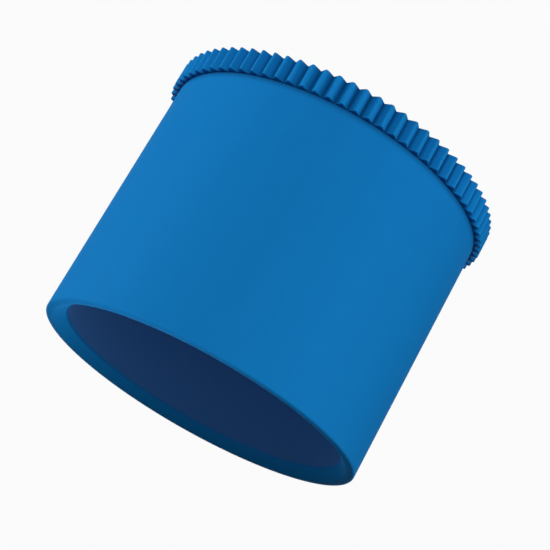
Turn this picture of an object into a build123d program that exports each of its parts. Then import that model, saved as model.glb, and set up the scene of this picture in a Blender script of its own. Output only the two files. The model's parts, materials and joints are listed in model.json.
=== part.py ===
from build123d import *
import math
import os

# A screw-on protective cap, moulded in one piece from soft polyethylene (all sizes in millimetres).
# It stands on its closed end. The origin is the centre of that end's outer face,
# and +Z runs along the axis to the open mouth.

# The male thread that the cap covers, the gap left all round it in the plain bore, and the gap
# that is left at its crests where the cap's own thread takes hold of it
thread_diameter = 30.0
thread_clearance = 0.13
crest_clearance = 0.03
thread_pitch = 2.0
thread_angle = 60

# Skirt: a plain round tube, closed at the bottom
wall_thickness = 1.87
bore_depth = 26.9
end_thickness = 2.0
floor_corner_radius = 0.6

# Lead-in: the cone in the mouth that guides the cap on to the thread
lead_in_width = 1.0
lead_in_depth = 0.8

# Moulded thread: plain bore is left between it and the mouth, and between it and the bore's floor
mouth_to_thread = 11.9
floor_to_thread = 2.0

# Grip collar: a ring of V-shaped teeth around the closed end
collar_height = 2.5
collar_step = 0.05
tooth_count = 80
tooth_depth = 0.75
tooth_tip_radius = 0.2

bore_radius = thread_diameter / 2 + thread_clearance
body_radius = bore_radius + wall_thickness
cap_length = end_thickness + bore_depth
tooth_root_radius = body_radius + collar_step
tooth_reach = tooth_root_radius + tooth_depth
tooth_pitch = 360 / tooth_count
thread_bottom = end_thickness + floor_to_thread
thread_top = cap_length - mouth_to_thread

# The thread has metric proportions: crests a quarter of the pitch wide, and a depth five eighths
# of a sharp V's
flank_slope = math.tan(math.radians(thread_angle / 2))
thread_depth = 5 / 8 * thread_pitch / (2 * flank_slope)
groove_radius = thread_diameter / 2 + crest_clearance
crest_radius = groove_radius - thread_depth
crest_width = thread_pitch / 4


def on_circle(radius, angle):
    """The point of a circle about the origin at an angle in radians."""
    return Vector(radius * math.cos(angle), radius * math.sin(angle))


def tooth_outline():
    """The tooth on the X axis, from root to root: a flank, a rounded tip and a flank."""
    root = on_circle(tooth_root_radius, math.radians(tooth_pitch / 2))
    tip_centre = Vector(tooth_reach - tooth_tip_radius, 0)
    to_root = root - tip_centre
    # The flank leaves the tip's circle where a line from the root just touches it
    touch_angle = math.atan2(to_root.Y, to_root.X) - math.acos(tooth_tip_radius / to_root.length)
    tip_end = tip_centre + on_circle(tooth_tip_radius, touch_angle)
    tip_start = Vector(tip_end.X, -tip_end.Y)
    return [
        Edge.make_line(Vector(root.X, -root.Y), tip_start),
        Edge.make_three_point_arc(tip_start, Vector(tooth_reach, 0), tip_end),
        Edge.make_line(tip_end, root),
    ]


def make_collar():
    """The toothed disc around the closed end, before the bore is cut."""
    turns = [tooth * tooth_pitch for tooth in range(tooth_count)]
    outline = [edge.rotate(Axis.Z, turn) for turn in turns for edge in tooth_outline()]
    return extrude(Face(Wire(outline)), amount=collar_height, dir=(0, 0, 1))


def make_skirt():
    """The smooth round body, before the bore is cut."""
    return Pos(0, 0, cap_length / 2) * Cylinder(body_radius, cap_length)


def make_bore():
    """The space inside: a blind round hole with a rounded corner at its floor and a conical mouth.

    It narrows to the thread's crests, over cones of 45 degrees.
    """
    taper = bore_radius - crest_radius
    with BuildPart() as bore:
        with BuildSketch(Plane.XZ):
            with BuildLine():
                Polyline(
                    (0, end_thickness),
                    (bore_radius, end_thickness),
                    (bore_radius, thread_bottom),
                    (crest_radius, thread_bottom + taper),
                    (crest_radius, thread_top - taper),
                    (bore_radius, thread_top),
                    (bore_radius, cap_length - lead_in_depth),
                    (bore_radius + lead_in_width, cap_length),
                    (0, cap_length),
                    close=True,
                )
            make_face()
        revolve(axis=Axis.Z)
        fillet(bore.edges().group_by(Axis.Z)[0], floor_corner_radius)
    return bore.part


def make_thread_groove():
    """The right-hand groove between the thread's crests, one solid for each turn."""
    inner_radius = crest_radius - thread_depth / 5
    root_half_width = (thread_pitch - crest_width) / 2 - flank_slope * thread_depth
    inner_half_width = root_half_width + flank_slope * (groove_radius - inner_radius)
    outline = Plane.XZ * Polyline(
        (groove_radius, -root_half_width),
        (inner_radius, -inner_half_width),
        (inner_radius, inner_half_width),
        (groove_radius, root_half_width),
        close=True,
    )
    screw_path = Helix(pitch=thread_pitch, height=thread_pitch, radius=groove_radius)
    turn = sweep(make_face(outline), path=screw_path, is_frenet=True)

    thread_length = thread_top - thread_bottom
    threaded_part = Pos(0, 0, thread_bottom + thread_length / 2) * Cylinder(body_radius, thread_length)
    turn_count = math.ceil(thread_length / thread_pitch) + 2
    turns = [Pos(0, 0, thread_bottom + (place - 1) * thread_pitch) * turn for place in range(turn_count)]
    return [piece for turn in turns for piece in (turn & threaded_part).solids()]


cap = make_skirt() + make_collar() - make_bore() - make_thread_groove()

os.makedirs("parts", exist_ok=True)
export_step(cap, "parts/cap.step")
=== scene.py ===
import json
import math

import bmesh
import bpy
from mathutils import Matrix, Vector


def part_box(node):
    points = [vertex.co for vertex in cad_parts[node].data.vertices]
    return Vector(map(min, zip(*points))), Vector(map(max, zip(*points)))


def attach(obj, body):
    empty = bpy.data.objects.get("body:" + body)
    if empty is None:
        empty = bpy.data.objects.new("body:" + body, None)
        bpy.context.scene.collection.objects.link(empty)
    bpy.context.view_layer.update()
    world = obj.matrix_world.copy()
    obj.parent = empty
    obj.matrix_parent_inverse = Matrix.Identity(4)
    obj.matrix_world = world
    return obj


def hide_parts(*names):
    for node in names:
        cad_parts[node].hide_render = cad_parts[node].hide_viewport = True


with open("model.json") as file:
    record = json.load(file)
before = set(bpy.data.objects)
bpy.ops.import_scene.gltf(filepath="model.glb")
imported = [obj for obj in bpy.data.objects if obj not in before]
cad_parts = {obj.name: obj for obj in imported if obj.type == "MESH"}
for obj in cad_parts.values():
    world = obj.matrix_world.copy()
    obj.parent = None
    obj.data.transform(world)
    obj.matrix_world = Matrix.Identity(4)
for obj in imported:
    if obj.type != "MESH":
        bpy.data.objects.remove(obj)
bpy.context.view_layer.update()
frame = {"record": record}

# The cap
# One moulding of blue polyethylene that covers a male thread: a smooth round skirt, a closed end
# with a collar of V-shaped grip teeth, and a thread deep in the bore. It leaves the mould with
# its outside edges a little rounded, and the core is screwed out of its thread.

MM = 0.001
cap_low, cap_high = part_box("cap")
guide_bore = next(mount for mount in frame["record"]["mounts"] if mount["name"] == "guide_bore")
bore_radius = guide_bore["dims"]["r_mm"] * MM
cap_length = cap_high.z
end_thickness = 2.0 * MM
floor_corner_radius = 0.6 * MM
body_radius = 17.0 * MM
lead_in_width = 1.0 * MM
lead_in_depth = 0.8 * MM
lead_in_end = cap_length - lead_in_depth
collar_height = 2.5 * MM

# The teeth stay a hair inside the solid's box, and points that lie closer than a weld are merged
hair = 0.01 * MM
weld = 0.001 * MM
tooth_count = 80
tooth_reach = cap_high.x - hair
tooth_depth = 0.75 * MM
tooth_tip_radius = 0.2 * MM
tooth_pitch = math.tau / tooth_count
steps_per_tooth = 20

# A tooth's flank runs straight from its root to where it just touches the tip's circle
tip_centre = tooth_reach - tooth_tip_radius
root_radius = tooth_reach - tooth_depth
root_across = root_radius * math.sin(tooth_pitch / 2)
root_along = root_radius * math.cos(tooth_pitch / 2) - tip_centre
flank_facing = (math.atan2(root_across, root_along)
                - math.acos(tooth_tip_radius / math.hypot(root_across, root_along)))
flank_distance = tip_centre * math.cos(flank_facing) + tooth_tip_radius
tip_end = math.atan2(tooth_tip_radius * math.sin(flank_facing),
                     tip_centre + tooth_tip_radius * math.cos(flank_facing))


def tooth_radius(angle):
    """Distance from the axis to the outline of the teeth, at an angle around the cap."""
    lean = abs((angle / tooth_pitch + 0.5) % 1 - 0.5) * tooth_pitch
    if lean < tip_end:
        across = tip_centre * math.sin(lean)
        return tip_centre * math.cos(lean) + math.sqrt(tooth_tip_radius ** 2 - across ** 2)
    return flank_distance / math.cos(flank_facing - lean)


def everything(shape):
    """All the points, edges and faces of a bmesh."""
    return shape.verts[:] + shape.edges[:] + shape.faces[:]


def turned_shell(corners, slices, steps_per_slice):
    """A shell turned about the cap's axis from (radius, height, rounding) corners.

    One slice of it is spun, and the slice is then repeated all the way round.
    """
    shell = bmesh.new()
    points = [shell.verts.new((radius, 0, height)) for radius, height, _ in corners]
    for start, end in zip(points, points[1:]):
        shell.edges.new((start, end))
    for point, (_, _, rounding) in zip(points, corners):
        if rounding:
            bmesh.ops.bevel(shell, geom=[point], offset=rounding, segments=4, profile=0.5,
                            affect="VERTICES", material=-1)
    bmesh.ops.spin(shell, geom=everything(shell), cent=(0, 0, 0), axis=(0, 0, 1),
                   angle=math.tau / slices, steps=steps_per_slice)
    bmesh.ops.remove_doubles(shell, verts=shell.verts, dist=weld)
    bmesh.ops.spin(shell, geom=everything(shell), cent=(0, 0, 0), axis=(0, 0, 1),
                   angle=math.tau * (slices - 1) / slices, steps=slices - 1, use_duplicate=True)
    bmesh.ops.remove_doubles(shell, verts=shell.verts, dist=weld)
    return shell


def add_shell(target, part):
    """Moves a finished bmesh into the cap's own bmesh."""
    mesh = bpy.data.meshes.new("part")
    part.to_mesh(mesh)
    part.free()
    target.from_mesh(mesh)
    bpy.data.meshes.remove(mesh)


# Outside, rim and the plain mouth of the bore, with the collar drawn in where it isn't a tooth. The
# bore's wall is in three parts, which meet in two narrow seams a short way past the thread's ends.
thread_bottom = 4.0 * MM
thread_top = 17.0 * MM
plain_end = 0.6 * MM
seam = 0.05 * MM
mouth_end = thread_top + plain_end
cap_shape = turned_shell([
    (0, 0, 0),
    (tooth_reach, 0, 0.08 * MM),
    (tooth_reach, collar_height, 0.06 * MM),
    (body_radius, collar_height, 0),
    (body_radius, cap_length, 0.2 * MM),
    (bore_radius + lead_in_width, cap_length, 0.08 * MM),
    (bore_radius, lead_in_end, 0.12 * MM),
    (bore_radius, mouth_end, 0),
], tooth_count, steps_per_tooth)
for vert in cap_shape.verts:
    radius = math.hypot(vert.co.x, vert.co.y)
    if radius > body_radius + hair:
        inset = tooth_reach - tooth_radius(math.atan2(vert.co.y, vert.co.x))
        vert.co.xy *= (radius - inset) / radius

# Thread: one pitch of the bore wall, screwed up the bore and tapered at 45 degrees at both ends
thread_pitch = 2.0 * MM
thread_rounding = 0.1 * MM
groove_radius = 15.03 * MM
flank_slope = math.tan(math.radians(30))
ridge_crest = thread_pitch / 4
ridge_height = 5 / 8 * thread_pitch / (2 * flank_slope)
ridge_root = ridge_crest + 2 * flank_slope * ridge_height
bore_steps = 240
thread_shape = bmesh.new()
screw_start = thread_bottom - 2 * thread_pitch
ridge_points = [
    thread_shape.verts.new((groove_radius - height, 0, screw_start + thread_pitch / 2 + along))
    for height, along in (
        (0, -thread_pitch / 2),
        (0, -ridge_root / 2),
        (ridge_height, -ridge_crest / 2),
        (ridge_height, ridge_crest / 2),
        (0, ridge_root / 2),
        (0, thread_pitch / 2),
    )
]
for start, end in zip(ridge_points, ridge_points[1:]):
    thread_shape.edges.new((start, end))
bmesh.ops.bevel(thread_shape, geom=ridge_points[1:5], offset=thread_rounding, segments=2,
                profile=0.5, affect="VERTICES", material=-1)
flanks = [edge for edge in thread_shape.edges if edge.calc_length() > ridge_height / 2]
bmesh.ops.subdivide_edges(thread_shape, edges=flanks, cuts=4)
bmesh.ops.spin(thread_shape, geom=everything(thread_shape), cent=(0, 0, 0), axis=(0, 0, 1),
               dvec=(0, 0, thread_pitch / bore_steps), angle=math.tau, steps=bore_steps)
one_turn = everything(thread_shape)
turn_count = math.ceil((thread_top - thread_bottom) / thread_pitch) + 3
for turn in range(1, turn_count):
    copied = bmesh.ops.duplicate(thread_shape, geom=one_turn)["geom"]
    copied_verts = [part for part in copied if isinstance(part, bmesh.types.BMVert)]
    bmesh.ops.translate(thread_shape, verts=copied_verts, vec=(0, 0, turn * thread_pitch))
bmesh.ops.remove_doubles(thread_shape, verts=thread_shape.verts, dist=weld)
for vert in thread_shape.verts:
    radius = math.hypot(vert.co.x, vert.co.y)
    to_end = max(min(vert.co.z - thread_bottom, thread_top - vert.co.z), 0)
    vert.co.xy *= max(radius, bore_radius - to_end) / radius
for level, keep_above in ((thread_bottom - plain_end, True), (mouth_end - seam, False)):
    bmesh.ops.bisect_plane(thread_shape, geom=everything(thread_shape), plane_co=(0, 0, level),
                           plane_no=(0, 0, 1), clear_inner=keep_above, clear_outer=not keep_above)
add_shell(cap_shape, thread_shape)

# Floor of the bore, with a rounded corner
floor_start = thread_bottom - plain_end - seam
floor_corners = [
    (bore_radius, floor_start, 0),
    (bore_radius, end_thickness, floor_corner_radius),
    (0, end_thickness, 0),
]
add_shell(cap_shape, turned_shell(floor_corners, tooth_count, bore_steps // tooth_count))

open_edges = [edge for edge in cap_shape.edges if edge.is_boundary]
for level in (floor_start + seam / 2, mouth_end - seam / 2):
    seam_edges = [edge for edge in open_edges if abs(edge.verts[0].co.z - level) < 2 * seam]
    bmesh.ops.bridge_loops(cap_shape, edges=seam_edges)
bmesh.ops.recalc_face_normals(cap_shape, faces=cap_shape.faces)

cap_mesh = bpy.data.meshes.new("cap_moulding")
cap_shape.to_mesh(cap_mesh)
cap_shape.free()
cap_mesh.shade_smooth()
cap_mesh.set_sharp_from_angle(angle=math.radians(40))
cap = bpy.data.objects.new("cap_moulding", cap_mesh)
bpy.context.scene.collection.objects.link(cap)
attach(cap, "root")
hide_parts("cap")


class Value:
    """A shader value that takes part in plain sums: each sum adds a Math node of its own."""

    def __init__(self, tree, socket=None):
        self.tree = tree
        self.socket = socket

    def node(self, kind, settings, inputs, output=0):
        """Adds a node: its type, its settings, then the values or links of its sockets."""
        added = self.tree.nodes.new(kind)
        for name, setting in settings.items():
            setattr(added, name, setting)
        for name, value in inputs.items():
            if isinstance(value, Value):
                self.tree.links.new(value.socket, added.inputs[name])
            else:
                added.inputs[name].default_value = value
        return Value(self.tree, added.outputs[output])

    def sum(self, operation, first, second):
        return self.node("ShaderNodeMath", {"operation": operation}, {0: first, 1: second})

    def __add__(self, other):
        return self.sum("ADD", self, other)

    def __radd__(self, other):
        return self.sum("ADD", other, self)

    def __sub__(self, other):
        return self.sum("SUBTRACT", self, other)

    def __rsub__(self, other):
        return self.sum("SUBTRACT", other, self)

    def __mul__(self, other):
        return self.sum("MULTIPLY", self, other)

    def __rmul__(self, other):
        return self.sum("MULTIPLY", other, self)


def new_material(name):
    """An empty node material, the builder of its nodes and the socket of its surface."""
    material = bpy.data.materials.new(name)
    material.use_nodes = True
    material.node_tree.nodes.clear()
    surface = material.node_tree.nodes.new("ShaderNodeOutputMaterial").inputs["Surface"]
    return material, Value(material.node_tree), surface


def stretched(point, amounts):
    """A point with each of its coordinates multiplied by an amount of its own."""
    return point.node("ShaderNodeVectorMath", {"operation": "MULTIPLY"}, {0: point, 1: amounts})


def noise(point, scale, detail):
    """Cloudy noise around 0.5."""
    return point.node("ShaderNodeTexNoise", {}, {"Vector": point, "Scale": scale, "Detail": detail})


def ramp(value, start, end, course="LINEAR"):
    """Goes from 0 to 1 while a value goes from the start to the end, and stays there past them."""
    return value.node("ShaderNodeMapRange", {"interpolation_type": course}, {0: value, 1: start, 2: end})


def blend(amount, first, second):
    """The first colour, with an amount of the second mixed in."""
    return amount.node("ShaderNodeMix", {"data_type": "RGBA"}, {"Factor": amount, 6: first, 7: second}, 2)


# Polyethylene: an even, matt blue with the grain of a spark-eroded mould, soft unevenness from
# shrinkage and faint draw lines. The tips of the teeth are rubbed, painted shade darkens the colour
# between the teeth and in the corner where the skirt meets them, and a dull film coats the bore.
deep_blue = (0.0045, 0.17, 0.47, 1)
light_blue = (0.006, 0.192, 0.51, 1)
rubbed_blue = (0.008, 0.215, 0.53, 1)
# Painted shade: the dark blue put between the teeth and in the corner under the collar
painted_shade_blue = (0.0025, 0.05, 0.165, 1)
film = (0.047, 0.162, 0.43, 1)
cap_material, nodes, surface = new_material("blue_polyethylene")
place = nodes.node("ShaderNodeTexCoord", {}, {}, "Object")
height = nodes.node("ShaderNodeSeparateXYZ", {}, {0: place}, "Z")
across = stretched(place, (1, 1, 0))
from_axis = nodes.node("ShaderNodeVectorMath", {"operation": "LENGTH"}, {0: across}, "Value")

grain = noise(place, 4500, 3)
shrinkage = noise(place, 160, 2)
clouding = noise(place, 420, 5)
draw_lines = noise(stretched(place, (1, 1, 0.02)), 1400, 3)
tone = 0.5 + (clouding - 0.5) * 0.5 + (draw_lines - 0.5) * 0.35 + (grain - 0.5) * 0.2
clean_colour = blend(tone, deep_blue, light_blue)

rubbed = ramp(from_axis, tooth_reach - 0.35 * MM, tooth_reach, "SMOOTHSTEP")
worn_colour = blend(rubbed * (0.25 + clouding * 0.4), clean_colour, rubbed_blue)

outside = ramp(from_axis, body_radius - 0.1 * MM, body_radius - 0.05 * MM)
on_skirt = ramp(from_axis, body_radius + 0.04 * MM, body_radius + 0.01 * MM)
in_valley = ramp(from_axis, root_radius + 0.4 * MM, root_radius, "SMOOTHSTEP")
by_collar = ramp(height, collar_height + 0.8 * MM, collar_height)
# Painted shade between the teeth and on the skirt next to the collar, where the collar's shade falls
shade_mask = by_collar * by_collar * outside * (in_valley * 0.75 + on_skirt * 0.25)
shade_painted_colour = blend(shade_mask * (0.75 + clouding * 0.3), worn_colour, painted_shade_blue)

inside = ramp(from_axis, bore_radius + 0.25 * MM, bore_radius + 0.05 * MM)
off_the_end = ramp(height, 0.5 * MM, 1.5 * MM)
past_the_lead_in = ramp(height, lead_in_end - 0.1 * MM, lead_in_end - 0.5 * MM, "SMOOTHSTEP")
filmed = inside * off_the_end * past_the_lead_in
filmed_colour = blend(filmed * (0.7 + clouding * 0.6), shade_painted_colour, film)

roughness = 0.72 + (clouding - 0.5) * 0.12 + (draw_lines - 0.5) * 0.1 - rubbed * 0.12
relief = shrinkage * 6 + draw_lines * 0.35 + grain * 0.5
bump = nodes.node("ShaderNodeBump", {}, {"Height": relief, "Strength": 0.5, "Distance": 0.01 * MM})
plastic = nodes.node("ShaderNodeBsdfPrincipled", {},
                     {"Base Color": filmed_colour, "Roughness": roughness, "Normal": bump,
                      "Specular IOR Level": 0.02})
cap_material.node_tree.links.new(plastic.socket, surface)
cap_mesh.materials.append(cap_material)

# Studio
# A pale floor that the cap stands on, in front of nothing but white. The light is soft and low: the
# strips stand below the cap's mouth, so its bore stays dark, and one small lamp hangs over the mouth.

floor_shape = bmesh.new()
bmesh.ops.create_grid(floor_shape, x_segments=1, y_segments=1, size=2.5)
bmesh.ops.translate(floor_shape, verts=floor_shape.verts, vec=(0, 0, cap_low.z - hair))
floor_mesh = bpy.data.meshes.new("floor")
floor_shape.to_mesh(floor_mesh)
floor_shape.free()
floor = bpy.data.objects.new("floor", floor_mesh)
bpy.context.scene.collection.objects.link(floor)


def seen_rays(nodes):
    """1 for a ray that shows a surface to the eye, and 0 for one that only gathers light."""
    kinds = ("Is Camera Ray", "Is Glossy Ray", "Is Transmission Ray")
    straight, mirrored, through = [nodes.node("ShaderNodeLightPath", {}, {}, kind) for kind in kinds]
    return straight + mirrored + through


backdrop_level = 0.96
ambient_level = 0.01
floor_material, nodes, surface = new_material("pale_floor")
paint = nodes.node("ShaderNodeBsdfDiffuse", {}, {"Color": (0.8, 0.8, 0.8, 1)})
white = nodes.node("ShaderNodeEmission", {}, {"Color": (1, 1, 1, 1), "Strength": 1})
look = nodes.node("ShaderNodeMixShader", {}, {0: seen_rays(nodes) * backdrop_level, 1: paint, 2: white})
floor_material.node_tree.links.new(look.socket, surface)
floor_mesh.materials.append(floor_material)

world = bpy.data.worlds.new("studio")
world.use_nodes = True
bpy.context.scene.world = world
backdrop = world.node_tree.nodes["Background"]
backdrop.inputs["Color"].default_value = (1, 1, 1, 1)
strength = seen_rays(Value(world.node_tree)) * backdrop_level + ambient_level
world.node_tree.links.new(strength.socket, backdrop.inputs["Strength"])


def soft_box(name, turn, distance, height, width, tall, power, lean=90):
    """A lamp around the cap. Its turn starts at the camera's side and goes towards +X. A lean of 90
    degrees faces it at the axis, and 0 faces it at the floor."""
    light = bpy.data.lights.new(name, "AREA")
    light.shape = "RECTANGLE"
    light.size = width
    light.size_y = tall
    light.energy = power
    lamp = bpy.data.objects.new(name, light)
    angle = math.radians(turn)
    lamp.location = (distance * math.sin(angle), -distance * math.cos(angle), height)
    lamp.rotation_euler = (math.radians(lean), 0, angle)
    lamp.visible_camera = False
    bpy.context.scene.collection.objects.link(lamp)


strip_distance = 0.9
strip_width = 0.46
strip_tall = 27.0 * MM
strip_middle = 14.5 * MM
strips = (
    ("front_strip", 8, 4.6),
    ("left_strip", 90, 5.69),
    ("right_strip", -68, 4.5),
    ("back_strip", 180, 3.97),
)
for name, turn, power in strips:
    soft_box(name, turn, strip_distance, strip_middle, strip_width, strip_tall, power)
soft_box("mouth_lamp", 45, 9 * MM, 43 * MM, 16 * MM, 4 * MM, 0.0027, lean=0)

# Camera: a long lens from a little above the mouth, rolled so that the mouth points down to the left
camera_target = Vector((-0.709, 0, 14.183)) * MM
camera_distance = 151.71 * MM
camera_azimuth = math.radians(0.96)
camera_dip = math.radians(18.354)
camera_roll = math.radians(150.435)
camera_data = bpy.data.cameras.new("camera")
camera_data.lens = 99.18
camera_data.sensor_width = 36
camera_data.clip_start = 0.005
camera = bpy.data.objects.new("camera", camera_data)
bpy.context.scene.collection.objects.link(camera)
turn_to_view = (Matrix.Rotation(-camera_azimuth, 4, "Z")
                @ Matrix.Rotation(math.pi / 2 - camera_dip, 4, "X")
                @ Matrix.Rotation(-camera_roll, 4, "Z"))
camera.matrix_world = (Matrix.Translation(camera_target) @ turn_to_view
                       @ Matrix.Translation((0, 0, camera_distance)))
bpy.context.scene.camera = camera

bpy.context.scene.view_settings.view_transform = "Standard"
